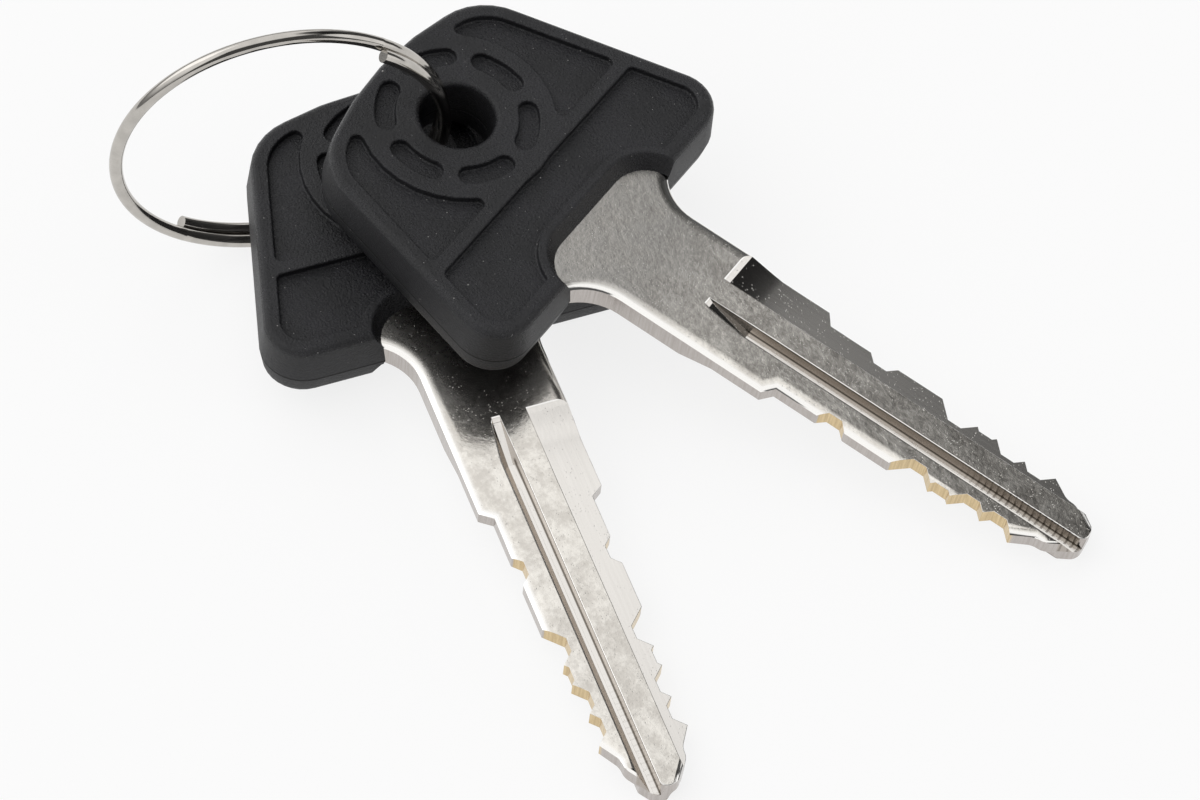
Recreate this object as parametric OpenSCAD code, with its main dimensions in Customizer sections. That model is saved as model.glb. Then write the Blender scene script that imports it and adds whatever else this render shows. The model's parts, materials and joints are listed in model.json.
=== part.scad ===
// Two like ignition keys on a split ring, lying as they come to rest on a table.
// Each key is a flat metal blade moulded into a plastic head. Its own frame has the
// ring hole's centre as origin, X along the blade to the tip and Z out of the face.

/* [Blade] */
// Width of the blade before the shoulder
blade_w = 9.5; // [8.6:0.1:10.4]
// Thickness of the blade
blade_t = 2.2; // [1.9:0.1:2.6]
// Distance from the ring hole to the blade's tip
tip_x = 55.7; // [54.5:0.1:60]
// Distance from the ring hole to the shoulder
shoulder_x = 30.5; // [27:0.1:32]
// Length of the slope at the shoulder
shoulder_run = 0.7; // [0.3:0.1:1.2]
// Width of the blade past the shoulder
bitted_w = 7.6; // [7:0.1:8.2]
// Length over which the blade widens into the head
neck_run = 3.25; // [2.4:0.05:4]
// Radius of the curve where the blade widens
neck_r = 4.3; // [4.1:0.1:6]

/* [Tip] */
// Length of the ramp that leads up to the first cut behind the tip
ramp_l = 5.3; // [4.8:0.1:5.6]
// Length of the pilot nose at the tip
nose_l = 3; // [2.4:0.1:3.4]
// Width of the pilot nose
nose_w = 4.7; // [4.2:0.1:5.2]
// Length of the nose's taper
taper_l = 2.2; // [1.5:0.1:2.4]
// Width of the blunt end
end_w = 1.6; // [1:0.1:2.4]

/* [Cuts] */
// Distance from the ring hole to the first cut
first_cut_x = 35.95; // [35:0.05:36.5]
// Distance from one cut to the next
cut_pitch = 2.3; // [2.1:0.05:2.35]
// Length of a cut's floor
cut_floor = 1.1; // [0.8:0.05:1.4]
// Depth of one step
cut_step = 0.64; // [0.4:0.02:0.8]
// Depth of each cut in steps, from the shoulder to the tip
cut_codes = [1, 0, 0, 2, 1, 2, 2]; // [0:1:2]

/* [Milled faces] */
// Distance from the ring hole to the start of the milling
mill_x = 23; // [20:0.1:24]
// Length of the steep start of a milled cut
entry_l = 0.5; // [0.3:0.05:0.8]
// Depth at the end of the steep start
entry_d = 0.22; // [0.15:0.01:0.3]
// Slope of a cut from its steep start to its full depth
run_slope = 13.5; // [9:0.5:18]
// Depth of the milled step along one edge of a face
step_d = 0.9; // [0.5:0.05:1]
// Distance from the blade's middle to the step's wall
step_y = 1.6; // [1.4:0.05:2]
// Depth of the groove
groove_d = 1.05; // [0.6:0.05:1.1]
// Distance from the blade's middle to the groove's upright wall
groove_y = 0.45; // [0.3:0.05:0.6]
// Width of the groove's floor
groove_floor = 0.62; // [0.3:0.02:0.7]
// Widening of the groove towards the face, as a share of its depth
groove_flare = 0.62; // [0.3:0.02:0.7]

/* [Tang] */
// Width of the tang where the blade enters the head
tang_w = 15; // [14:0.1:16]
// Diameter of the metal eye around the ring hole
eye_d = 12; // [11.2:0.1:12.4]
// Thickness of the plastic between the eye and the ring hole
lining = 1.5; // [1:0.1:1.8]
// Diameter of the holes that anchor the plastic
anchor_d = 2.6; // [1.5:0.1:3]
// Distance from the ring hole to the anchor holes
anchor_x = 9.2; // [8.4:0.1:10]
// Distance between the anchor holes
anchor_gap = 8.4; // [6:0.1:9.5]

/* [Head] */
// Thickness of the head
head_t = 5; // [4.6:0.1:5.6]
// Greatest width of the head
head_w = 29.5; // [27.5:0.1:31]
// Distance from the ring hole to the head's front
front_x = 14.95; // [14.3:0.05:16]
// Distance from the ring hole to the head's back
back_x = 7.3; // [7:0.1:8.5]
// Bow of the head's back edge
back_bow = 0.85; // [0.3:0.05:1.2]
// Width across the centres of the back corners
back_span = 11.9; // [10.5:0.1:12.5]
// Radius of the back corners
back_r = 5.3; // [4.8:0.1:6]
// Radius of the front corners
front_r = 3.2; // [2.5:0.1:4]
// Radius of the head's edges
edge_r = 0.6; // [0.3:0.05:0.8]
// Draft of the sides above and below the parting line
draft = 0.22; // [0.05:0.01:0.4]
// Height of the parting line from the head's underside
parting_h = 1.9; // [1.5:0.1:2.5]

/* [Ring hole] */
// Diameter of the ring hole
hole_d = 5.6; // [5.4:0.1:6.4]
// Radius of the hole's rims
rim_r = 0.45; // [0.3:0.05:0.8]

/* [Notch] */
// Depth of the notch that bares the blade
notch_depth = 3.6; // [3:0.1:4]
// Width of the notch at the face
notch_w = 14.4; // [13.4:0.1:15]
// Slope of the notch's wall from the face to the blade
notch_slope = 0.7; // [0.3:0.05:0.9]

/* [Panels] */
// Depth of the sunk panels
panel_d = 0.55; // [0.3:0.05:0.7]
// Width of the border around the panels
border = 1.3; // [1:0.05:1.8]
// Width of the border along the notch
notch_border = 0.7; // [0.5:0.05:1]
// Distance from the ring hole to the rib across the head
rib_x = 6.2; // [5.8:0.05:6.6]
// Width of the rib
rib_w = 1.1; // [0.8:0.05:1.4]
// Diameter of the round land about the ring hole
land_d = 14.9; // [14.2:0.1:15.4]
// Radius of the panels' corners
panel_r = 0.5; // [0.2:0.05:0.7]
// Number of arc pockets in the land
pockets = 6; // [3:1:8]
// Diameter of the pockets' middle line
pocket_ring_d = 10.7; // [10:0.1:11.2]
// Width of a pocket
pocket_w = 1.5; // [1:0.1:1.8]
// Angle of a pocket between the centres of its ends
pocket_span = 32; // [15:1:36]

/* [Split ring] */
// Outer diameter of the ring
ring_d = 25.4; // [24.8:0.1:27]
// Diameter of the wire
wire_d = 1; // [0.8:0.05:1.1]
// Gap between the two strands of wire
strand_gap = 0.06; // [0.04:0.01:0.12]
// Angle round the ring to the middle of the single strand
single_at = 139; // [125:1:150]
// Turn of the standing ring about the vertical
ring_turn = 63.9; // [60:0.1:68]
// Lean of the standing ring
ring_lean = 5.4; // [3:0.1:7]
// Place of the ring's middle from the part's origin, along X
ring_x = -26.67; // [-30:0.01:-20]
// Place of the ring's middle from the part's origin, along Y
ring_y = -8.89; // [-14:0.01:-4]

/* [Upper key at rest] */
// Angle round the ring to the upper key's hole
upper_at = -8.8; // [-10:0.1:-6]
// Distance of the hole's centre outside the wire's middle
upper_out = 0.7; // [0.4:0.05:0.9]
// Distance of the hole's centre to the side of the ring
upper_side = 0.9; // [0.6:0.05:1]
// Turn of the upper key about the vertical
upper_turn = 17.4; // [14:0.1:24]
// Roll of the upper key about its blade
upper_roll = -3; // [-4:0.1:-2]

/* [Lower key at rest] */
// Angle round the ring to the lower key's hole
lower_at = -43.6; // [-44.5:0.1:-43]
// Distance of the hole's centre outside the wire's middle
lower_out = -0.5; // [-0.6:0.05:-0.3]
// Distance of the hole's centre to the side of the ring
lower_side = -0.1; // [-0.3:0.05:0.2]
// Turn of the lower key about the vertical
lower_turn = -17.4; // [-24:0.1:-14]
// Roll of the lower key about its blade
lower_roll = -5.1; // [-5.4:0.1:-4]

/* [Hidden] */
$fn = 64;
hull_fn = 32;
// Overlap of a cutting shape past the face that it cuts
past = 1;
// Thickness of the slices that a sloped wall is drawn between
slice = 0.01;
edge_steps = 4;
back_steps = 2;
neck_steps = 10;
eye_steps = 12;
slot_steps = 6;
half_t = blade_t / 2;
half_head = head_t / 2;
neck_x = front_x + neck_run;

// Milled cuts: the end of their steep start, and the lengths to the full depths
entry_slope = atan(entry_d / entry_l);
run_x = mill_x + entry_l;
step_run = (step_d - entry_d) / tan(run_slope);
// Drop from one run of the groove to the next, so that they share no edge
ledge = 0.03;
groove_run = (groove_d - ledge - entry_d) / tan(run_slope);

// Middle circle of the wire
ring_r = (ring_d - wire_d) / 2;
strand_pitch = wire_d + strand_gap;
cross_r = norm([ring_r, strand_pitch / 2]);
cross_tilt = atan((strand_pitch / 2) / ring_r);
// Kink where the wire starts to cross: arcs stop short of its middle, and a ball closes it
kink_short = 0.1;
kink_swell = 0.01;
ring_h = ring_r * cos(ring_lean) + strand_pitch / 2 * sin(ring_lean) + wire_d / 2;

// A point of the standing ring's own frame in the part's frame
function turned(p, angle) = [
    p.x * cos(angle) - p.y * sin(angle),
    p.x * sin(angle) + p.y * cos(angle),
    p.z,
];
function stood(p) = [
    p.x,
    -p.y * sin(ring_lean) - p.z * cos(ring_lean),
    p.y * cos(ring_lean) - p.z * sin(ring_lean),
];
function ring_point(angle, out, side) =
    let (r = ring_r + out)
    [ring_x, ring_y, ring_h] + turned(stood([r * cos(angle), r * sin(angle), side]), ring_turn);

// Slope at which a key's tip meets the table, from the height of its hole and its roll
function rest_slope(height, roll) =
    let (low = half_t * cos(roll) + end_w / 2 * abs(sin(roll)))
    asin(height / norm([tip_x, low])) - atan(low / tip_x);

upper_place = ring_point(upper_at, upper_out, upper_side);
lower_place = ring_point(lower_at, lower_out, lower_side);
upper_slope = rest_slope(upper_place.z, upper_roll);
lower_slope = rest_slope(lower_place.z, lower_roll);

// Blade
module mirrored_y() {
    children();
    mirror([0, 1, 0]) children();
}

module cut_2d(steps) {
    depth_y = bitted_w / 2 - steps * cut_step;
    polygon([
        [-cut_floor / 2, depth_y],
        [cut_floor / 2, depth_y],
        [cut_floor / 2 + blade_w, depth_y + blade_w],
        [-cut_floor / 2 - blade_w, depth_y + blade_w],
    ]);
}

// Outline of one side of the metal, from the eye to the tip
neck_angle = acos(1 - (tang_w - blade_w) / (2 * neck_r));
metal_side = concat(
    [for (i = [0:eye_steps]) let (angle = 180 - 90 * i / eye_steps) eye_d / 2 * [cos(angle), sin(angle)]],
    [
        for (i = [neck_steps:-1:0])
            let (angle = neck_angle * i / neck_steps)
            [neck_x - neck_r * sin(angle), blade_w / 2 + neck_r * (1 - cos(angle))],
    ],
    [
        [shoulder_x, blade_w / 2],
        [shoulder_x + shoulder_run, bitted_w / 2],
        [tip_x - ramp_l, bitted_w / 2],
        [tip_x - nose_l, nose_w / 2],
        [tip_x - taper_l, nose_w / 2],
        [tip_x, end_w / 2],
    ]
);

module metal_2d() {
    other_side = [for (i = [len(metal_side) - 1:-1:1]) [metal_side[i].x, -metal_side[i].y]];
    difference() {
        polygon(concat(metal_side, other_side));
        circle(d = hole_d + 2 * lining);
        mirrored_y() translate([anchor_x, anchor_gap / 2]) circle(d = anchor_d);
        for (i = [0:len(cut_codes) - 1]) {
            if (cut_codes[i] > 0) {
                mirrored_y() translate([first_cut_x + i * cut_pitch, 0]) cut_2d(cut_codes[i]);
            }
        }
    }
}

// One groove's section, with its floor at zero, extruded along X
module groove_prism(length) {
    height = groove_d + past;
    rotate([90, 0, 90]) linear_extrude(length) polygon([
        [-groove_y, 0],
        [-groove_y, height],
        [-groove_y - groove_floor - groove_flare * height, height],
        [-groove_y - groove_floor, 0],
    ]);
}

// Step and groove of one face, each with a steep start and a gentle slope to its depth
module milling() {
    translate([0, step_y + blade_w, half_t]) rotate([90, 0, 0]) linear_extrude(blade_w) polygon([
        [mill_x - past / tan(entry_slope), past],
        [run_x, -entry_d],
        [run_x + step_run, -step_d],
        [run_x + tip_x, -step_d],
        [run_x + tip_x, past],
    ]);
    translate([mill_x, 0, half_t + ledge]) rotate([0, entry_slope, 0]) translate([-past, 0, 0])
        groove_prism(past + entry_l / cos(entry_slope));
    translate([run_x, 0, half_t - entry_d]) rotate([0, run_slope, 0])
        groove_prism(groove_run / cos(run_slope));
    translate([run_x + groove_run, 0, half_t - groove_d]) groove_prism(tip_x);
}

module key_blade() {
    difference() {
        linear_extrude(blade_t, center = true) metal_2d();
        milling();
        rotate([180, 0, 0]) milling();
    }
}

// Head
function edge_arc(r, z, sign) = [
    for (i = [0:edge_steps])
        let (angle = 90 * (sign > 0 ? i : edge_steps - i) / edge_steps)
        [r - edge_r + edge_r * cos(angle), sign * (z - edge_r + edge_r * sin(angle))],
];

// Round corner of the head, widest at the parting line
module corner_post(r) {
    rotate_extrude($fn = hull_fn) polygon(concat(
        [[0, -half_head]],
        edge_arc(r - draft, half_head, -1),
        [[r, parting_h - half_head]],
        edge_arc(r - draft, half_head, 1),
        [[0, half_head]]
    ));
}

front_y = head_w / 2 - front_r;
function back_corner(i) = [
    back_r - back_x + back_bow * pow(i / back_steps, 2),
    back_span / 2 * i / back_steps,
];

module head_blank() {
    hull() {
        for (i = [-back_steps:back_steps]) {
            translate(back_corner(i)) corner_post(back_r);
        }
        mirrored_y() translate([front_x - front_r, front_y]) corner_post(front_r);
    }
}

module border_2d() {
    hull() {
        for (i = [-back_steps:back_steps]) {
            translate(back_corner(i)) circle(r = back_r - draft - border, $fn = hull_fn);
        }
        mirrored_y() translate([front_x - front_r, front_y])
            circle(r = front_r - draft - border, $fn = hull_fn);
    }
}

// Notch outline with round inner corners, grown by a margin
module notch_2d(grow) {
    half_w = notch_w / 2 + grow;
    inner_r = notch_depth + grow;
    translate([front_x, 0]) {
        translate([0, -half_w]) square([past, 2 * half_w]);
        translate([-inner_r, inner_r - half_w]) square([inner_r, 2 * (half_w - inner_r)]);
        mirrored_y() translate([0, half_w - inner_r]) circle(r = inner_r, $fn = hull_fn);
    }
}

module notch_cut() {
    hull() {
        translate([0, 0, half_t]) linear_extrude(slice) notch_2d(-notch_slope);
        translate([0, 0, half_head]) linear_extrude(slice) notch_2d(0);
    }
}

module panels_2d() {
    offset(r = panel_r, $fn = hull_fn) offset(delta = -panel_r) difference() {
        border_2d();
        circle(d = land_d);
        translate([rib_x, -head_w / 2]) square([rib_w, head_w]);
        notch_2d(notch_border);
    }
}

function arc(middle, r, from, to, steps) = [
    for (i = [0:steps])
        let (angle = from + (to - from) * i / steps)
        middle + r * [cos(angle), sin(angle)],
];

// Curved slot with round ends, as one outline
module arc_slot_2d(r, width, span) {
    end = span / 2;
    polygon(concat(
        arc([0, 0], r + width / 2, -end, end, slot_steps),
        arc(r * [cos(end), sin(end)], width / 2, end, end + 180, slot_steps),
        arc([0, 0], r - width / 2, end, -end, slot_steps),
        arc(r * [cos(end), -sin(end)], width / 2, 180 - end, 360 - end, slot_steps)
    ));
}

// Everything sunk into one face of the head
module face_cuts() {
    notch_cut();
    translate([0, 0, half_head - panel_d]) {
        linear_extrude(panel_d + past) panels_2d();
        for (i = [0:pockets - 1]) {
            rotate([0, 0, 360 / pockets * (i + 0.5)]) linear_extrude(panel_d + past)
                arc_slot_2d(pocket_ring_d / 2, pocket_w, pocket_span);
        }
    }
    rim_d = hole_d + 2 * rim_r;
    translate([0, 0, half_head - rim_r]) rotate_extrude() difference() {
        square([rim_d / 2, rim_r + past]);
        translate([rim_d / 2, 0]) circle(r = rim_r);
    }
}

module key_head() {
    difference() {
        head_blank();
        cylinder(d = hole_d, h = head_t + past, center = true);
        face_cuts();
        rotate([180, 0, 0]) face_cuts();
        linear_extrude(blade_t, center = true) metal_2d();
    }
}

// Ring
module half_turn(r) {
    rotate([0, 0, kink_short]) rotate_extrude(angle = 180 - 2 * kink_short)
        translate([r, 0]) circle(d = wire_d);
}

// Two flat half turns side by side, and a tilted one that crosses from one to the other
module ring_wire() {
    rotate([0, 0, single_at]) {
        for (side = [-1, 1]) {
            translate([0, 0, side * strand_pitch / 2]) rotate([0, 0, 90]) half_turn(ring_r);
            translate([0, side * ring_r, side * strand_pitch / 2]) sphere(d = wire_d + 2 * kink_swell);
        }
        rotate([cross_tilt, 0, 0]) rotate([0, 0, -90]) half_turn(cross_r);
    }
}

// Places
module at_upper_key() {
    translate(upper_place) rotate([upper_roll, upper_slope, upper_turn]) children();
}

module at_lower_key() {
    translate(lower_place) rotate([lower_roll, lower_slope, lower_turn]) children();
}

// Sub-parts
module upper_key_blade() {
    color("darkgray") at_upper_key() key_blade();
}

module upper_key_head() {
    color([0.13, 0.13, 0.14]) at_upper_key() key_head();
}

module lower_key_blade() {
    color("darkgray") at_lower_key() key_blade();
}

module lower_key_head() {
    color([0.13, 0.13, 0.14]) at_lower_key() key_head();
}

module split_ring() {
    color("gainsboro")
        translate([ring_x, ring_y, ring_h])
        rotate([90 + ring_lean, 0, ring_turn]) ring_wire();
}

upper_key_blade();
upper_key_head();
lower_key_blade();
lower_key_head();
split_ring();
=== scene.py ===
"""Dresses a pair of ignition keys on a split ring, and sets the studio they lie in."""

import json
import math

import bmesh
import bpy
from bpy.props import FloatProperty, FloatVectorProperty, PointerProperty
from mathutils import Matrix, Vector


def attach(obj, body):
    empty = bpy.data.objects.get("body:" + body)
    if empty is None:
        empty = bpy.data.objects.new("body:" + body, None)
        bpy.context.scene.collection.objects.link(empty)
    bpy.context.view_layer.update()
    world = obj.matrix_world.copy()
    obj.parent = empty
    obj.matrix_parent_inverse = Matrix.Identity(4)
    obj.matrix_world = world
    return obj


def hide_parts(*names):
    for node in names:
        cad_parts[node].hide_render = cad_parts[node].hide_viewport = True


bl_info = {
    "name": "Ignition keys on a split ring",
    "version": (1, 0, 0),
    "blender": (4, 5, 0),
    "location": "View3D > Sidebar > Keys",
    "description": "Rounds, plates and moulds two ignition keys and polishes their ring",
    "category": "Object",
}

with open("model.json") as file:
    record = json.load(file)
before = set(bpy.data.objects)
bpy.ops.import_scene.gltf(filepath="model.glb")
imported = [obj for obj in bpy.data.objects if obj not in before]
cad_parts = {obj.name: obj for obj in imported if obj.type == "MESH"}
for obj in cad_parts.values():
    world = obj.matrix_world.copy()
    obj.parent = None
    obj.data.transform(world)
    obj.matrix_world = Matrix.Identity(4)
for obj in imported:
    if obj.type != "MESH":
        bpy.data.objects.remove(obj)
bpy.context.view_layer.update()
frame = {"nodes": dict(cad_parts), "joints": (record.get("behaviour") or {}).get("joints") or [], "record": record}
MM = 0.001
KEYS = ("upper", "lower")

# Places on a key, in millimetres: X from the ring hole to the tip, Y across, Z out of the face
HALF_T = 1.1
HALF_W = 4.75
TANG_HALF_W = 7.5
BITTED_HALF_W = 3.8
HEAD_FRONT = 15.2
NECK_R = 4.3
NECK_END = 18.2
MILL_X = 23
SHOULDER_X = 30.5
SHOULDER_END = 31.2
TAPER_X = 50.4
NOSE_X = 52.7
NOSE_END = 53.5
NOSE_HALF_W = 2.35
TIP_X = 55.7
TIP_HALF_W = 0.8
STEP_Y = 1.6
GROOVE_INNER = 0.45
GROOVE_FLOOR = 0.62
GROOVE_OUTER = 1.75
FLOOR_OUTER = GROOVE_INNER + GROOVE_FLOOR
FLOOR_MIDDLE = GROOVE_INNER + GROOVE_FLOOR / 2
BETWEEN_MILLINGS = 1.3
MILLED_HALF_W = 2
# Stretch by the head over which the plating darkens, as painted shade and reflection of the head
HEAD_SHADE_FROM = 17
HEAD_SHADE_TO = 26
TICKS_FROM = 44
TICKS_TO = 49
SAWN_END = 50
PARTING_Z = -0.6
CAVITY_HALF_T = 1.3

# The trim of a blade, in millimetres
LEDGE = 0.05
TILT_X = 29
TILT_DROP = 0.07
NOSE_ROUND = 0.35
TIP_ROUND = 0.55

# The rolled edges of a blank: steps, the turn that the rolling ends at, and the cutter's reach
NECK_TURN = math.acos(1 - (TANG_HALF_W - HALF_W) / NECK_R)
NECK_STEPS = 10
ROLL_STEPS = 6
ROLL_TURN = math.radians(78)
REACH_IN = 0.08
REACH_OUT = 0.04
REACH_SIDE = 0.6
REACH_UP = 0.4
REACH_END = 0.5

# Tests on edges, in degrees
COPLANAR = 0.4
BEND = 4
CRISP = 28
RIM = 38
SHARP = 42
STRAIGHT = 170

# Tests on lengths, in millimetres
NEAR = 0.01
SAME = 0.0005
TINY = 0.002

# Tests on a face's direction: how far it looks along Z and along Y
WALL_NZ = 0.05
FLOOR_NZ = 0.85
GENTLE_NZ = 0.95
STEP_NY = 0.02
GROOVE_NY = 0.15

# Wear of each key: marks along the groove, depth of the nicks, and haze on the handled stretch
WEAR = {
    "upper": {"ticks": 1.0, "nicks": 4.2, "haze": 0.05, "haze_from": 18, "haze_to": 44},
    "lower": {"ticks": 0.2, "nicks": 2.0, "haze": 0.1, "haze_from": 16, "haze_to": 26},
}

# Nicks on the blades: cells to a millimetre
NICK_CELLS = 5.2

# Dust on the heads: cells to a millimetre, size of a grain in its cell, and share of bare cells
DUST = ((0.5, 0.05, 0.5), (1.1, 0.07, 0.66), (2.2, 0.1, 0.8))

# The studio: floor, directions and tones of its lights, and the camera
FLOOR_REACH = 2
FLOOR_DROP = 0.05 * MM
FLOOR_WHITE = 0.82
DOME_WAY = (-0.863, -0.505, 0)
SOFTBOX_WAY = (0.656, 0.656, 0.375)
FLAG_WAY = (0.146, 0.631, 0.762)
FLAG_SHADE = 0.8
ROOM_TONE = 0.075
CEILING_TONE = 0.9
SKY_STRENGTH = 1.15
LAMP_WAY = (-0.8, -0.47, 0.75)
LAMP_DISTANCE = 0.7
LAMP_SIZE = 0.5
LAMP_POWER = 0.6
CAMERA_PLACE = (0.17735, -0.12913, 0.30357)
CAMERA_RIGHT = (0.6174, 0.7862, -0.0274)
CAMERA_UP = (-0.6271, 0.5128, 0.5864)
CAMERA_BACK = (0.475, -0.3449, 0.8096)
SENSOR_WIDTH = 36
CLIP_START = 0.01


class Wire:
    """A shader socket. Used in an expression, it adds the Math nodes for it."""

    def __init__(self, board, socket):
        self.board = board
        self.socket = socket

    def _math(self, operation, *values):
        return self.board.add("ShaderNodeMath", {"operation": operation}, dict(enumerate(values)))

    def __add__(self, other):
        return self._math("ADD", self, other)

    __radd__ = __add__

    def __sub__(self, other):
        return self._math("SUBTRACT", self, other)

    def __rsub__(self, other):
        return self._math("SUBTRACT", other, self)

    def __mul__(self, other):
        return self._math("MULTIPLY", self, other)

    __rmul__ = __mul__

    def __abs__(self):
        return self._math("ABSOLUTE", self)

    def least(self, other):
        return self._math("MINIMUM", self, other)

    def most(self, other):
        return self._math("MAXIMUM", self, other)

    def rise(self, low, high):
        """0 below low, 1 above high, smooth between. With high under low it falls."""
        start, end, a, b = (low, high, 0, 1) if low < high else (high, low, 1, 0)
        return self.board.add(
            "ShaderNodeMapRange",
            {"interpolation_type": "SMOOTHSTEP"},
            {"Value": self, "From Min": start, "From Max": end, "To Min": a, "To Max": b},
        )


class Board:
    """The node tree of one material or world."""

    def __init__(self, owner):
        owner.use_nodes = True
        self.tree = owner.node_tree
        self.tree.nodes.clear()

    def add(self, kind, settings=None, sockets=None, output=0):
        """A node of a kind, with its settings made first, as the wire of one output."""
        node = self.tree.nodes.new(kind)
        for name, value in (settings or {}).items():
            setattr(node, name, value)
        for name, value in (sockets or {}).items():
            if isinstance(value, Wire):
                self.tree.links.new(value.socket, node.inputs[name])
            else:
                node.inputs[name].default_value = value
        return Wire(self, node.outputs[output]) if node.outputs else None

    def mix(self, share, first, second):
        """A colour between two colours."""
        sockets = {0: share, 6: self.solid(first), 7: self.solid(second)}
        return self.add("ShaderNodeMix", {"data_type": "RGBA"}, sockets, output=2)

    @staticmethod
    def solid(colour):
        return colour if isinstance(colour, Wire) else (*colour, 1)

    def place(self):
        """Place on the part at rest, in millimetres."""
        spot = self.add("ShaderNodeTexCoord", output="Object")
        return self.stretched(spot, (1 / MM,) * 3)

    def facing(self):
        """Direction of the surface on the part at rest."""
        return self.add("ShaderNodeTexCoord", output="Normal")

    def stretched(self, vector, scale):
        return self.add("ShaderNodeVectorMath", {"operation": "MULTIPLY"}, {0: vector, 1: scale})

    def along(self, vector, axis):
        """Length of a vector along a fixed direction."""
        sockets = {0: vector, 1: axis}
        return self.add("ShaderNodeVectorMath", {"operation": "DOT_PRODUCT"}, sockets, output="Value")

    def joined(self, x, y, z):
        return self.add("ShaderNodeCombineXYZ", {}, {0: x, 1: y, 2: z})

    def part(self, vector, index):
        """One of a vector's three numbers."""
        return self.add("ShaderNodeSeparateXYZ", {}, {0: vector}, output=index)

    def noise(self, vector, scale, detail=3.0, roughness=0.55):
        sockets = {"Vector": vector, "Scale": scale, "Detail": detail, "Roughness": roughness}
        return self.add("ShaderNodeTexNoise", {}, sockets)

    def cells(self, vector, scale):
        """Distance from the middle of the nearest cell."""
        return self.add("ShaderNodeTexVoronoi", {}, {"Vector": vector, "Scale": scale})

    def chance(self, vector, scale):
        """A number by chance for each cell."""
        colour = self.add("ShaderNodeTexVoronoi", {}, {"Vector": vector, "Scale": scale}, output="Color")
        return self.part(colour, 0)

    def waves(self, vector, scale):
        """Even lines across X."""
        sockets = {"Vector": vector, "Scale": scale, "Distortion": 0.8, "Detail": 1.0, "Detail Scale": 2.0}
        return self.add("ShaderNodeTexWave", {}, sockets, output="Fac")

    def bump(self, height, distance, strength):
        sockets = {"Height": height, "Distance": distance, "Strength": strength}
        return self.add("ShaderNodeBump", {}, sockets)

    def surface(self, colour, **sockets):
        """The material's surface. A name's underscores stand for spaces."""
        named = {name.replace("_", " "): value for name, value in sockets.items()}
        shader = self.add("ShaderNodeBsdfPrincipled", {}, {"Base Color": colour, **named})
        self.add("ShaderNodeOutputMaterial", {}, {"Surface": shader})


def key_matrix(key):
    """Frame of a key: origin at its ring hole, X along the blade, Z out of its face."""
    hinge = next(j for j in frame["joints"] if j["child"] == key + "_key")
    slide = next(m for m in frame["record"]["mounts"] if m["name"] == key + "_blade")
    up = Vector(hinge["axis"]).normalized()
    along = Vector(slide["axis"])
    along = (along - up * along.dot(up)).normalized()
    turn = Matrix((along, up.cross(along), up)).transposed().to_4x4()
    return Matrix.Translation(hinge["pos_m"]) @ turn


def key_axes(key):
    """The origin of a key's frame, in millimetres, and its three axes."""
    matrix = key_matrix(key)
    return matrix.translation / MM, [matrix.col[i].to_3d() for i in range(3)]


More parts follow.
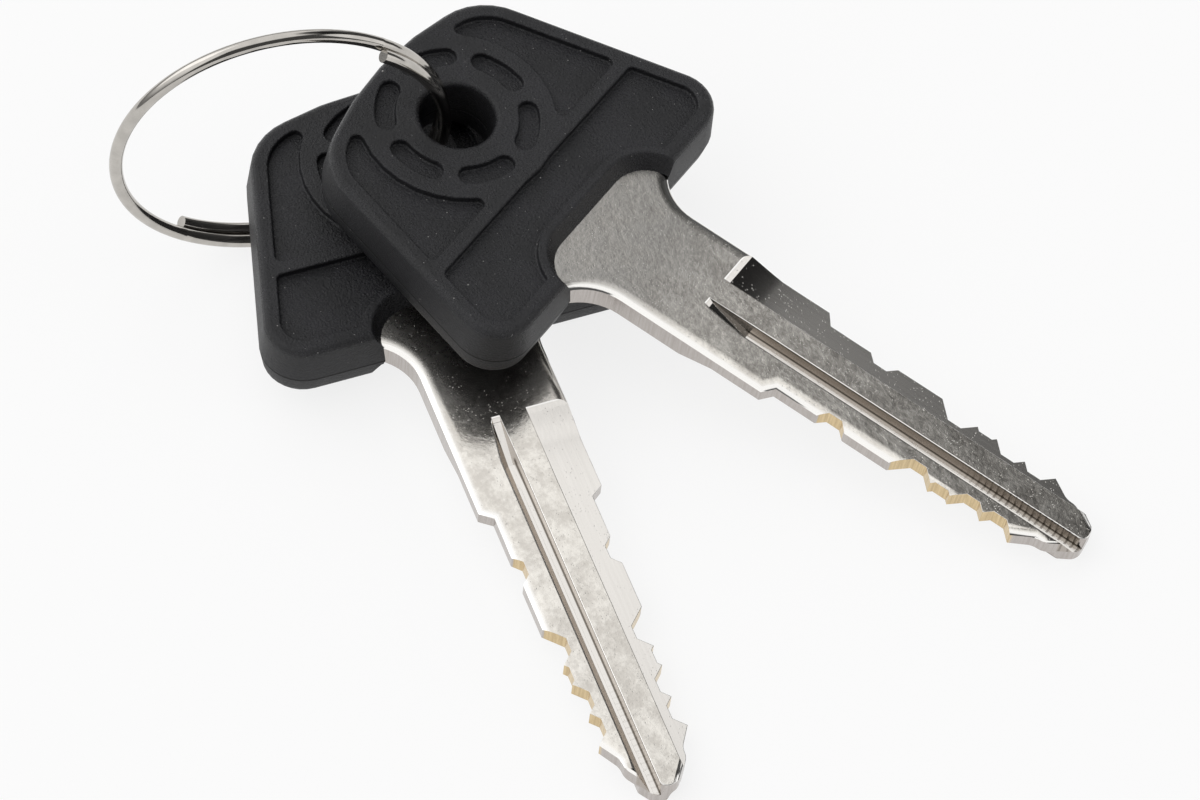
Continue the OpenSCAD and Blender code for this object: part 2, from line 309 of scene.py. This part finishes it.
def plated_metal(look, key):
    """Mottled plating on the faces, fine lines along the milling, and bare brass in the cuts."""
    material = bpy.data.materials.new(key + "_plating")
    board = Board(material)
    wear = WEAR[key]
    spot = board.place()
    origin, axes = key_axes(key)
    x, y, z = [board.along(spot, axis) - origin.dot(axis) for axis in axes]
    ny, nz = [board.along(board.facing(), axis) for axis in axes[1:]]
    lie = board.joined(x, y, z)
    across = y * z.rise(-NEAR, NEAR) - y * z.rise(NEAR, -NEAR)

    # Which kind of surface a point is on
    side = abs(nz).rise(0.5, 0.2)
    sunk = abs(z).rise(HALF_T - 0.03, HALF_T - 0.07)
    milled = abs(nz).rise(0.85, 0.93) * abs(ny).rise(0.2, 0.1) * sunk
    face = abs(nz).rise(0.955, 0.995) * (1 - milled)
    rolled = (1 - side) * (1 - milled) * (1 - face)
    cut_stretch = x.rise(SHOULDER_END + 0.2, SHOULDER_END + 0.6) * x.rise(TAPER_X + 1, TAPER_X + 0.7)
    inside_blank = abs(y).rise(BITTED_HALF_W - 0.06, BITTED_HALF_W - 0.14)
    cut = side * cut_stretch * inside_blank * abs(y).rise(MILLED_HALF_W - 0.05, MILLED_HALF_W + 0.1)
    inside_outer = across.rise(-GROOVE_OUTER - 0.05, -GROOVE_OUTER)
    groove = inside_outer * across.rise(-GROOVE_INNER + 0.05, -GROOVE_INNER)
    wall = groove * abs(z).rise(HALF_T - 0.02, HALF_T - 0.08) * (1 - milled)

    # Patterns of the plating and the tools' lines, the painted shade in the groove's inner corner and the painted
    # dark reflection along the step's edge
    swirl = board.noise(spot, 0.5, 4, 0.6)
    grain = board.noise(spot, 2.4, 5, 0.62)
    strewn = board.noise(spot, 0.7, 2).rise(0.42, 0.62)
    kept = board.chance(spot, NICK_CELLS).rise(0.35, 0.85)
    nicks = board.cells(spot, NICK_CELLS).rise(0.26, 0.08) * kept * strewn
    streaks = board.noise(board.stretched(lie, (0.12, 5, 5)), 1, 2)
    saw = board.noise(board.stretched(lie, (6, 6, 0.3)), 1, 4)
    ticks = board.waves(lie, 0.62).rise(0.72, 0.95) * groove * x.rise(TICKS_FROM, TICKS_TO) * wear["ticks"]
    # Painted shade along the groove's inner corner, where its floor meets the upright wall
    groove_corner_shade = abs(across + (GROOVE_INNER + NEAR)).rise(0.1, 0.04) * abs(z).rise(0.2, 0.12) * groove
    # Painted dark reflection along the step's top edge
    step_edge_dark_reflection = abs(across - STEP_Y).rise(0.06, 0.03) * abs(z).rise(0.95, 1.0)
    burr_and_painted_edge_line = step_edge_dark_reflection * x.rise(MILL_X + 0.4, MILL_X + 0.6)
    # Dark tool marks at the groove's end, with the painted shade in its corner and the painted dark reflection
    # along the step's edge
    tool_marks_and_painted_shade = groove_corner_shade * 0.85 + burr_and_painted_edge_line * 0.65 + ticks * 0.6

    plate = board.mix((swirl * 0.6 + grain * 0.4).rise(0.38, 0.62), look.plate_dark, look.plate)
    # Painted shade and reflection of the head: the plating darkens towards the head, mottled by the swirl
    plate = board.mix((swirl + 0.3) * x.rise(HEAD_SHADE_TO, HEAD_SHADE_FROM), plate, look.plate_in_head_shade)
    milling = board.mix(streaks.rise(0.3, 0.7), look.milled_dark, look.milled)
    edge = board.mix(saw.rise(0.3, 0.7), look.edge_dark, look.edge)
    brass = board.mix(saw.rise(0.25, 0.75), look.brass_dark, look.brass)
    # Brighter plating on the rolled edges, which the rolling burnished, and on the nicks as a painted glint
    colour = board.mix(rolled.most(nicks * face), plate, look.plate_burnished_and_glint)
    colour = board.mix(milled, colour, milling)
    colour = board.mix(side, colour, edge)
    colour = board.mix(cut, colour, brass)
    colour = board.mix(wall, colour, look.groove_wall)
    colour = board.mix(tool_marks_and_painted_shade.least(1), colour, look.tool_marks_and_painted_shade)

    rough = 0.12 + (grain - 0.5) * 0.1 * face + swirl * 0.1 * face + saw * 0.16 * side
    rough = rough + x.rise(wear["haze_to"], wear["haze_from"]) * wear["haze"] * face
    relief = (grain * 0.8 + swirl * 1.1) * face - nicks * wear["nicks"] * (face + milled * 0.4)
    relief = relief + streaks * 0.04 * milled - ticks * 0.6
    relief = relief + saw * 0.3 * side * x.rise(SAWN_END + 2, SAWN_END)
    board.surface(
        colour,
        Metallic=1.0,
        Roughness=rough,
        Normal=board.bump(relief, 0.02 * MM, 0.6),
    )
    return material


def moulded_plastic(look, key):
    """Pebbled black plastic with dust on it, its sides darkened as painted shade, and the line where the mould
    parted, drawn black as painted shade.
    """
    material = bpy.data.materials.new(key + "_black_plastic")
    board = Board(material)
    spot = board.place()
    origin, axes = key_axes(key)
    up = axes[2]
    z = board.along(spot, up) - origin.dot(up)
    side = abs(board.along(board.facing(), up)).rise(0.4, 0.2)
    parting_line_and_shade = abs(z - PARTING_Z).rise(0.11, 0.05) * side
    pebble = board.noise(spot, 6.5, 4, 0.65)
    cloud = board.noise(spot, 0.3, 3)
    dust = 0
    for scale, size, bare in DUST:
        kept = board.chance(spot, scale).rise(bare, bare + 0.06)
        dust = board.cells(spot, scale).rise(size, size * 0.5) * kept + dust
    fluff = board.noise(board.stretched(spot, (1, 1.6, 1)), 2.4, 2).rise(0.68, 0.78) * 0.1
    tone = board.mix(cloud.rise(0.3, 0.7), look.plastic_dark_and_side_shade, look.plastic)
    colour = board.mix((dust + fluff).least(1), tone, look.dust)
    # Painted shade: the sides are darkened halfway to the dark colour
    colour = board.mix(side * 0.5, colour, look.plastic_dark_and_side_shade)
    # Painted shade: the parting line, a real ridge of the mould, is drawn as a black line
    colour = board.mix(parting_line_and_shade, colour, (0, 0, 0))
    rough = 0.26 + (cloud - 0.5) * 0.12 + (pebble - 0.5) * 0.2 + side * 0.22 + parting_line_and_shade * 0.2
    board.surface(
        colour,
        Roughness=rough,
        Specular_IOR_Level=0.46,
        Normal=board.bump(pebble + dust * 0.5 - parting_line_and_shade, 0.12 * MM, 0.9),
    )
    return material


def polished_wire(look):
    """Bright drawn wire with a little haze and fine scratches."""
    material = bpy.data.materials.new("polished_wire")
    board = Board(material)
    spot = board.place()
    haze = board.noise(spot, 0.8, 3)
    scratch = board.noise(board.stretched(spot, (2, 2, 11)), 1.4, 5, 0.7)
    board.surface(
        board.mix(haze.rise(0.3, 0.7), look.wire_dark, look.wire),
        Metallic=1.0,
        Roughness=0.07 + haze * 0.06 + scratch.rise(0.6, 0.75) * 0.08,
        Normal=board.bump(scratch, 0.003 * MM, 0.3),
    )
    return material


def solid_of(node, matrix):
    """The CAD solid of a node as a clean mesh in its key's frame, in millimetres."""
    form = bmesh.new()
    form.from_mesh(frame["nodes"][node].data)
    to_key = Matrix.Diagonal((1 / MM,) * 3).to_4x4() @ matrix.inverted()
    bmesh.ops.transform(form, matrix=to_key, verts=form.verts)
    bmesh.ops.remove_doubles(form, verts=form.verts, dist=SAME)
    flat = math.radians(COPLANAR)
    bmesh.ops.dissolve_limit(form, angle_limit=flat, verts=form.verts, edges=form.edges)
    return form


def corner(edge):
    """Angle that the surface turns by at an edge, in degrees, above 0 where the edge stands out."""
    return math.degrees(edge.calc_face_angle_signed(0))


def rounded(form, edges, width, segments):
    bmesh.ops.bevel(
        form,
        geom=edges,
        offset=width,
        offset_type="OFFSET",
        segments=segments,
        profile=0.5,
        affect="EDGES",
        clamp_overlap=False,
        loop_slide=True,
    )


def blank_side():
    """One side of the blade's blank before its cuts: points and the share of the roll there."""
    neck = []
    for i in range(NECK_STEPS + 1):
        turn = NECK_TURN * (1 - i / NECK_STEPS)
        neck.append((NECK_END - NECK_R * math.sin(turn), HALF_W + NECK_R * (1 - math.cos(turn)), 1))
    return neck + [
        (SHOULDER_X, HALF_W, 1),
        (SHOULDER_END, BITTED_HALF_W, 1),
        (TAPER_X, BITTED_HALF_W, 1),
        (NOSE_X, NOSE_HALF_W, 0.7),
        (NOSE_END, NOSE_HALF_W, 0.5),
        (TIP_X, TIP_HALF_W, 0.4),
    ]


def from_blank(point):
    """Distance of a point from the blank's side, seen along Z."""
    spot = Vector((point.x, abs(point.y)))
    sides = [Vector(p[:2]) for p in blank_side()]
    best = math.inf
    for a, b in zip(sides, sides[1:]):
        share = max(0, min(1, (spot - a).dot(b - a) / (b - a).length_squared))
        best = min(best, (spot - a.lerp(b, share)).length)
    return best


def past_end(end, before, far):
    """A point on the line through a curve's last two points, further on."""
    share = far / (end[0] - before[0])
    return end[0] + far, end[1] + share * (end[1] - before[1])


def roll_section(width, depth):
    """Section of the metal that rolling takes off: distance in from the edge, and depth."""
    turns = [ROLL_TURN * i / ROLL_STEPS for i in range(ROLL_STEPS + 1)]
    curve = [(width * (1 - math.sin(t) / math.sin(ROLL_TURN)), depth * (1 - math.cos(t))) for t in turns]
    first = past_end(curve[0], curve[1], REACH_IN)
    last = past_end(curve[-1], curve[-2], -REACH_OUT)
    outside = [(-REACH_SIDE, last[1]), (-REACH_SIDE, -REACH_UP), (first[0], -REACH_UP)]
    return [first, *curve[1:-1], last, *outside]


def roll_cutter(width, depth, side, face):
    """A body swept along one side of the blank, which cuts the roll of one face."""
    points = blank_side()
    section = roll_section(width, depth)
    ways = [(Vector(b[:2]) - Vector(a[:2])).normalized() for a, b in zip(points, points[1:])]
    inward = [Vector((w.y, -w.x)) for w in ways]
    form = bmesh.new()
    rows = []
    for i, (x, y, share) in enumerate(points):
        before, after = inward[max(i - 1, 0)], inward[min(i, len(inward) - 1)]
        mitre = (before + after) / (1 + before.dot(after))
        spot = Vector((x, y))
        if i == 0:
            spot -= ways[0] * REACH_END
        if i == len(points) - 1:
            spot += ways[-1] * REACH_END
        row = []
        for distance, drop in section:
            place = spot + mitre * distance * (share if distance > 0 else 1)
            height = HALF_T - drop * (share if drop > 0 else 1)
            row.append(form.verts.new((place.x, place.y * side, height * face)))
        rows.append(row)
    for a, b in zip(rows, rows[1:]):
        for i in range(len(section)):
            j = (i + 1) % len(section)
            form.faces.new((a[i], a[j], b[j], b[i]))
    form.faces.new(rows[0])
    form.faces.new(reversed(rows[-1]))
    bmesh.ops.recalc_face_normals(form, faces=form.faces)
    return form


def object_from(form, name):
    """An object in the scene that takes over a form's mesh."""
    mesh = bpy.data.meshes.new(name)
    form.to_mesh(mesh)
    form.free()
    made = bpy.data.objects.new(name, mesh)
    bpy.context.scene.collection.objects.link(made)
    return made


def cut_away(form, cutters):
    """The form with each cutter's body taken off."""
    whole = object_from(form, "blank")
    tools = [object_from(cutter, "roll") for cutter in cutters]
    for tool in tools:
        cut = whole.modifiers.new("cut", "BOOLEAN")
        cut.operation = "DIFFERENCE"
        cut.solver = "EXACT"
        cut.object = tool
    mesh = bpy.data.meshes.new_from_object(whole.evaluated_get(bpy.context.evaluated_depsgraph_get()))
    form = bmesh.new()
    form.from_mesh(mesh)
    bpy.data.meshes.remove(mesh)
    for made in (whole, *tools):
        bpy.data.meshes.remove(made.data)
    return form


def splits_straight(vert):
    """Whether a point only splits a straight edge between two faces."""
    if len(vert.link_edges) != 2:
        return False
    a, b = [edge.other_vert(vert).co - vert.co for edge in vert.link_edges]
    return math.degrees(a.angle(b, 0)) > STRAIGHT


def no_split(edge):
    return False


def piece_from(form, name, matrix, material, body, node, splits=no_split):
    """A piece at its place in the part, cleaned, and smooth but for its corners."""
    bmesh.ops.dissolve_degenerate(form, dist=TINY, edges=form.edges)
    bmesh.ops.dissolve_verts(form, verts=[v for v in form.verts if splits_straight(v)])
    for edge in form.edges:
        edge.smooth = abs(corner(edge)) < SHARP and not splits(edge)
    for face in form.faces:
        face.smooth = True
    bmesh.ops.transform(form, matrix=matrix @ Matrix.Diagonal((MM,) * 3).to_4x4(), verts=form.verts)
    piece = object_from(form, name)
    piece.data.materials.append(material)
    even = piece.modifiers.new("even_shading", "WEIGHTED_NORMAL")
    even.keep_sharp = True
    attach(piece, body)
    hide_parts(node)
    return piece


class BladeSettings(bpy.types.PropertyGroup):
    """Sizes and colours of the blades"""

    roll_width: FloatProperty(
        name="Roll width",
        description="Width of the blank's rolled edges on the face",
        default=0.95 * MM,
        min=0.3 * MM,
        max=1.2 * MM,
        precision=5,
        subtype="DISTANCE",
        unit="LENGTH",
    )
    roll_depth: FloatProperty(
        name="Roll depth",
        description="Depth of the blank's rolled edges on the side",
        default=0.33 * MM,
        min=0.1 * MM,
        max=0.5 * MM,
        precision=5,
        subtype="DISTANCE",
        unit="LENGTH",
    )
    lip: FloatProperty(
        name="Milled edge",
        description="Radius of the edges of the groove and the step along the face",
        default=0.07 * MM,
        min=0.02 * MM,
        max=0.1 * MM,
        precision=6,
        subtype="DISTANCE",
        unit="LENGTH",
    )
    groove_round: FloatProperty(
        name="Groove's outer edge",
        description="Radius of the groove's edge on its sloped side",
        default=0.1 * MM,
        min=0.02 * MM,
        max=0.2 * MM,
        precision=5,
        subtype="DISTANCE",
        unit="LENGTH",
    )
    # Radius of the cut edges; the same name carries the painted dark reflection along the step's edge in the
    # plating
    burr_and_painted_edge_line: FloatProperty(
        name="Cut edge",
        description="Radius of the cut edges",
        default=0.035 * MM,
        min=0.01 * MM,
        max=0.1 * MM,
        precision=6,
        subtype="DISTANCE",
        unit="LENGTH",
    )
    plate: FloatVectorProperty(
        name="Plating",
        description="Colour of the plated faces",
        default=(0.82, 0.79, 0.735),
        subtype="COLOR",
        size=3,
    )
    plate_dark: FloatVectorProperty(
        name="Dull plating",
        description="Colour of the dull patches",
        default=(0.6, 0.57, 0.525),
        subtype="COLOR",
        size=3,
    )
    # Painted shade and reflection of the head on the plating next to it
    plate_in_head_shade: FloatVectorProperty(
        name="Plating in painted head shade",
        description="Colour of the plating by the head",
        default=(0.48, 0.465, 0.44),
        subtype="COLOR",
        size=3,
    )
    # Burnished plating on the rolled edges, and a painted glint on the nicks
    plate_burnished_and_glint: FloatVectorProperty(
        name="Burnished plating and painted glint",
        description="Colour of the rolled edges and the small bright nicks",
        default=(0.84, 0.825, 0.8),
        subtype="COLOR",
        size=3,
    )
    milled: FloatVectorProperty(
        name="Milled faces",
        description="Colour of the milled floors",
        default=(0.74, 0.715, 0.68),
        subtype="COLOR",
        size=3,
    )
    milled_dark: FloatVectorProperty(
        name="Mill lines",
        description="Colour of the fine lines along the milled floors",
        default=(0.71, 0.685, 0.65),
        subtype="COLOR",
        size=3,
    )
    # Colour of the dark tool marks, the painted shade in the groove's corner and the painted dark reflection along
    # the step's edge
    tool_marks_and_painted_shade: FloatVectorProperty(
        name="Tool marks and painted shade",
        description="Colour of the soil in the groove",
        default=(0.16, 0.14, 0.115),
        subtype="COLOR",
        size=3,
    )
    groove_wall: FloatVectorProperty(
        name="Groove walls",
        description="Colour of the groove's walls",
        default=(0.44, 0.4, 0.36),
        subtype="COLOR",
        size=3,
    )
    edge: FloatVectorProperty(
        name="Edge",
        description="Colour of the blanked edges",
        default=(0.54, 0.505, 0.48),
        subtype="COLOR",
        size=3,
    )
    edge_dark: FloatVectorProperty(
        name="Edge lines",
        description="Colour of the fine lines on the edges",
        default=(0.46, 0.425, 0.4),
        subtype="COLOR",
        size=3,
    )
    brass: FloatVectorProperty(
        name="Bare brass",
        description="Colour of the metal that the cuts bare",
        default=(0.76, 0.6, 0.36),
        subtype="COLOR",
        size=3,
    )
    brass_dark: FloatVectorProperty(
        name="Brass lines",
        description="Colour of the lines in the cuts",
        default=(0.55, 0.42, 0.24),
        subtype="COLOR",
        size=3,
    )


class HeadSettings(bpy.types.PropertyGroup):
    """Sizes and colours of the heads"""

    panel_round: FloatProperty(
        name="Panel edge",
        description="Radius of the panels' edges",
        default=0.15 * MM,
        min=0.05 * MM,
        max=0.25 * MM,
        precision=5,
        subtype="DISTANCE",
        unit="LENGTH",
    )
    plastic: FloatVectorProperty(
        name="Plastic",
        description="Colour of the plastic",
        default=(0.0138, 0.0138, 0.0168),
        subtype="COLOR",
        size=3,
    )
    # Dark clouds of the plastic, and the painted shade on the sides
    plastic_dark_and_side_shade: FloatVectorProperty(
        name="Dark plastic and painted side shade",
        description="Colour of its darker clouds and sides",
        default=(0.0085, 0.0085, 0.01),
        subtype="COLOR",
        size=3,
    )
    dust: FloatVectorProperty(
        name="Dust",
        description="Colour of the dust",
        default=(0.42, 0.41, 0.4),
        subtype="COLOR",
        size=3,
    )


class RingSettings(bpy.types.PropertyGroup):
    """Colours of the ring"""

    wire: FloatVectorProperty(
        name="Wire",
        description="Colour of the wire",
        default=(0.54, 0.515, 0.48),
        subtype="COLOR",
        size=3,
    )
    wire_dark: FloatVectorProperty(
        name="Dull wire",
        description="Colour of the wire's dull stretches",
        default=(0.46, 0.44, 0.41),
        subtype="COLOR",
        size=3,
    )


class StageSettings(bpy.types.PropertyGroup):
    """Floor and camera"""

    floor: FloatVectorProperty(
        name="Floor",
        description="Colour of the floor",
        default=(0.95, 0.95, 0.95),
        subtype="COLOR",
        size=3,
    )
    lens: FloatProperty(
        name="Lens",
        description="Focal length of the camera, in millimetres",
        default=152.916,
        min=50,
        max=300,
    )


class KEYS_OT_blades(bpy.types.Operator):
    """Make both blades, with rolled edges along the neck and crisp cuts"""

    bl_idname = "keys.blades"
    bl_label = "Blades"

    def execute(self, context):
        look = context.scene.key_blades
        rolls = [(side, face) for side in (1, -1) for face in (1, -1)]
        for key in KEYS:
            matrix = key_matrix(key)
            node = key + "_key_blade"
            form = solid_of(node, matrix)
            self.trim(form)
            outer = [e for e in form.edges if self.is_lip(e) and self.is_outer(e)]
            rounded(form, outer, look.groove_round / MM, segments=4)
            lips = [e for e in form.edges if self.is_lip(e) and not self.is_outer(e)]
            rounded(form, lips, look.lip / MM, segments=3)
            crisp = [e for e in form.edges if self.is_crisp(e)]
            rounded(form, crisp, look.burr_and_painted_edge_line / MM, segments=2)
            cutters = [roll_cutter(look.roll_width / MM, look.roll_depth / MM, *at) for at in rolls]
            form = cut_away(form, cutters)
            metal = plated_metal(look, key)
            piece = piece_from(form, key + "_plated_blade", matrix, metal, key + "_key", node, self.splits)
        return {"FINISHED"}

    @staticmethod
    def trim(form):
        """Close the ledge where the groove's ramp meets its floor, tilt that floor and round the nose."""
        milled = [e for e in form.edges if all(v.co.x > MILL_X + 1 for v in e.verts)]
        short = [e for e in milled if e.calc_length() < LEDGE]
        places = {round(v.co.x, 3) for e in short for v in e.verts}
        ledge = [v for v in form.verts if round(v.co.x, 3) in places]
        bmesh.ops.remove_doubles(form, verts=ledge, dist=LEDGE)
        inside = [f for f in form.faces if KEYS_OT_blades.is_in_groove(f)]
        near = {part for f in inside for part in (f, *f.edges, *f.verts)}
        bmesh.ops.bisect_plane(form, geom=list(near), plane_co=(TILT_X, 0, 0), plane_no=(1, 0, 0))
        for v in form.verts:
            if v.co.x > TILT_X - 0.1 and abs(abs(v.co.y) - FLOOR_OUTER) < 0.03 and abs(v.co.z) < 0.1:
                v.co.z -= math.copysign(TILT_DROP, v.co.z)
        tip = [e for e in form.edges if KEYS_OT_blades.stands_at(e, TIP_X - 0.2, TIP_X + 0.3)]
        rounded(form, tip, TIP_ROUND, segments=5)
        nose = [e for e in form.edges if KEYS_OT_blades.stands_at(e, NOSE_X - 0.7, NOSE_END + 0.5)]
        rounded(form, nose, NOSE_ROUND, segments=4)

    @staticmethod
    def is_in_groove(face):
        middle = face.calc_center_median()
        return abs(middle.y) < GROOVE_OUTER and abs(middle.z) < HALF_T - 0.2

    @staticmethod
    def stands_at(edge, low, high):
        """Whether an edge runs along Z in a stretch of the blade."""
        a, b = [v.co for v in edge.verts]
        return low < a.x < high and (a - b).xy.length < NEAR

    @staticmethod
    def is_at_face(point):
        return abs(abs(point.z) - HALF_T) < NEAR

    @staticmethod
    def is_lip(edge):
        """An edge of the groove or the step along the face."""
        ends = [v.co for v in edge.verts]
        along_milling = all(abs(p.y) < MILLED_HALF_W and p.x > MILL_X - 1 for p in ends)
        return along_milling and all(map(KEYS_OT_blades.is_at_face, ends)) and corner(edge) > CRISP

    @staticmethod
    def is_outer(edge):
        """An edge of the groove's sloped wall."""
        return all(v.co.y * math.copysign(1, v.co.z) < -FLOOR_MIDDLE for v in edge.verts)

    @staticmethod
    def splits(edge):
        """A bend that shows as a line: around a milled floor's steep start, and along the walls."""
        faces = edge.link_faces
        if abs(corner(edge)) < BEND:
            return False
        if any(abs(f.normal.z) < WALL_NZ for f in faces):
            return True
        floors = [f for f in faces if KEYS_OT_blades.is_floor(f)]
        gentle = all(abs(f.normal.z) > GENTLE_NZ and KEYS_OT_blades.is_on_step(f) for f in floors)
        return bool(floors) and not (len(floors) == 2 and gentle)

    @staticmethod
    def is_on_step(face):
        return abs(face.calc_center_median().y) > BETWEEN_MILLINGS

    @staticmethod
    def is_floor(face):
        """Whether a face is part of a milled floor."""
        tilt = STEP_NY if KEYS_OT_blades.is_on_step(face) else GROOVE_NY
        sunk = abs(face.calc_center_median().z) < HALF_T - NEAR
        return sunk and abs(face.normal.z) > FLOOR_NZ and abs(face.normal.y) < tilt

    @staticmethod
    def is_crisp(edge):
        """A corner that shows and that neither the rolling nor the groove's lip has rounded."""
        ends = [v.co for v in edge.verts]
        beside_lip = all(abs(p.y) < MILLED_HALF_W and abs(p.z) > HALF_T - 0.15 for p in ends)
        rolled = all(KEYS_OT_blades.is_at_face(p) and from_blank(p) < 2 * NEAR for p in ends)
        shows = all(p.x > HEAD_FRONT for p in ends)
        return corner(edge) > CRISP and shows and not rolled and not beside_lip


class KEYS_OT_heads(bpy.types.Operator):
    """Make both moulded heads, with softly rounded panels"""

    bl_idname = "keys.heads"
    bl_label = "Heads"

    def execute(self, context):
        look = context.scene.key_heads
        for key in KEYS:
            matrix = key_matrix(key)
            node = key + "_key_head"
            form = solid_of(node, matrix)
            rims = [e for e in form.edges if abs(corner(e)) > RIM and self.shows(e)]
            rounded(form, rims, look.panel_round / MM, segments=3)
            plastic = moulded_plastic(look, key)
            piece = piece_from(form, key + "_moulded_head", matrix, plastic, key + "_key", node)
        return {"FINISHED"}

    @staticmethod
    def shows(edge):
        """Whether an edge is clear of the cavity that the blade fills."""
        return all(abs(v.co.z) > CAVITY_HALF_T for v in edge.verts)


class KEYS_OT_ring(bpy.types.Operator):
    """Clean and polish the split ring"""

    bl_idname = "keys.ring"
    bl_label = "Split ring"

    def execute(self, context):
        form = solid_of("split_ring", Matrix())
        wire = polished_wire(context.scene.key_ring)
        piece = piece_from(form, "polished_ring", Matrix(), wire, "ring", "split_ring")
        return {"FINISHED"}


class KEYS_OT_stage(bpy.types.Operator):
    """Set the floor, the soft light and the camera"""

    bl_idname = "keys.stage"
    bl_label = "Stage"

    def execute(self, context):
        look = context.scene.key_stage
        self.floor(look)
        self.sky(context.scene)
        self.lamp()
        self.camera(context.scene, look)
        context.scene.view_settings.view_transform = "Standard"
        return {"FINISHED"}

    @staticmethod
    def floor(look):
        """A pale floor, white to the camera and in reflections, that keeps the shadow."""
        form = bmesh.new()
        bmesh.ops.create_grid(form, x_segments=1, y_segments=1, size=FLOOR_REACH)
        floor = object_from(form, "studio_floor")
        floor.location.z = -FLOOR_DROP
        material = bpy.data.materials.new("pale_floor")
        board = Board(material)
        rays = ("Is Camera Ray", "Is Glossy Ray", "Is Transmission Ray")
        seen = sum(board.add("ShaderNodeLightPath", output=ray) for ray in rays)
        paper = board.add("ShaderNodeBsdfDiffuse", {}, {"Color": board.solid(look.floor)})
        white = board.add("ShaderNodeEmission", {}, {"Color": (1, 1, 1, 1), "Strength": 1})
        share = (seen * FLOOR_WHITE).least(FLOOR_WHITE)
        both = board.add("ShaderNodeMixShader", {}, {0: share, 1: paper, 2: white})
        board.add("ShaderNodeOutputMaterial", {}, {"Surface": both})
        floor.data.materials.append(material)

    @staticmethod
    def sky(scene):
        """A wide white half dome to the left, a low softbox to the right, a dark flag and a dark room."""
        world = bpy.data.worlds.new("studio")
        scene.world = world
        board = Board(world)
        way = board.add("ShaderNodeTexCoord", output="Generated")
        height = board.part(way, 2)
        dome = board.along(way, DOME_WAY).rise(-0.052, 0.03) * (height.rise(0, 0.55) * 0.8 + 0.2)
        softbox = board.along(way, SOFTBOX_WAY).rise(0.88, 0.93)
        flag = board.along(way, FLAG_WAY).rise(0.93, 0.965)
        room = (height.rise(0.78, 0.9) * CEILING_TONE + ROOM_TONE) * (1 - flag * FLAG_SHADE)
        tone = board.mix(dome.most(softbox).most(room), (0, 0, 0), (1, 1, 1))
        light = board.add("ShaderNodeBackground", {}, {"Color": tone, "Strength": SKY_STRENGTH})
        board.add("ShaderNodeOutputWorld", {}, {"Surface": light})

    @staticmethod
    def lamp():
        light = bpy.data.lights.new("side_softbox", "AREA")
        light.shape = "RECTANGLE"
        light.size = LAMP_SIZE
        light.size_y = LAMP_SIZE
        light.energy = LAMP_POWER
        lamp = bpy.data.objects.new("side_softbox", light)
        place = Vector(LAMP_WAY).normalized() * LAMP_DISTANCE
        lamp.matrix_world = Matrix.Translation(place) @ place.to_track_quat("Z", "Y").to_matrix().to_4x4()
        bpy.context.scene.collection.objects.link(lamp)

    @staticmethod
    def camera(scene, look):
        data = bpy.data.cameras.new("photo_camera")
        data.sensor_fit = "HORIZONTAL"
        data.sensor_width = SENSOR_WIDTH
        data.lens = look.lens
        data.clip_start = CLIP_START
        camera = bpy.data.objects.new("photo_camera", data)
        turn = Matrix((CAMERA_RIGHT, CAMERA_UP, CAMERA_BACK)).transposed().to_4x4()
        camera.matrix_world = Matrix.Translation(CAMERA_PLACE) @ turn
        scene.collection.objects.link(camera)
        scene.camera = camera


class KEYS_PT_panel(bpy.types.Panel):
    """Lists the pieces and their settings"""

    bl_idname = "KEYS_PT_panel"
    bl_label = "Ignition keys"
    bl_space_type = "VIEW_3D"
    bl_region_type = "UI"
    bl_category = "Keys"

    def draw(self, context):
        for operator, group in STEPS.items():
            box = self.layout.box()
            box.operator(operator)
            settings = getattr(context.scene, group)
            for name in settings.__annotations__:
                box.prop(settings, name)


STEPS = {
    "keys.blades": "key_blades",
    "keys.heads": "key_heads",
    "keys.ring": "key_ring",
    "keys.stage": "key_stage",
}
GROUPS = {
    "key_blades": BladeSettings,
    "key_heads": HeadSettings,
    "key_ring": RingSettings,
    "key_stage": StageSettings,
}
OPERATORS = (KEYS_OT_blades, KEYS_OT_heads, KEYS_OT_ring, KEYS_OT_stage)
CLASSES = (*GROUPS.values(), *OPERATORS, KEYS_PT_panel)


def register():
    for made in CLASSES:
        bpy.utils.register_class(made)
    for name, group in GROUPS.items():
        setattr(bpy.types.Scene, name, PointerProperty(type=group))


def unregister():
    for name in GROUPS:
        delattr(bpy.types.Scene, name)
    for made in reversed(CLASSES):
        bpy.utils.unregister_class(made)


def main():
    register()
    bpy.ops.keys.blades()
    bpy.ops.keys.heads()
    bpy.ops.keys.ring()
    bpy.ops.keys.stage()


if __name__ == "__main__":
    main()
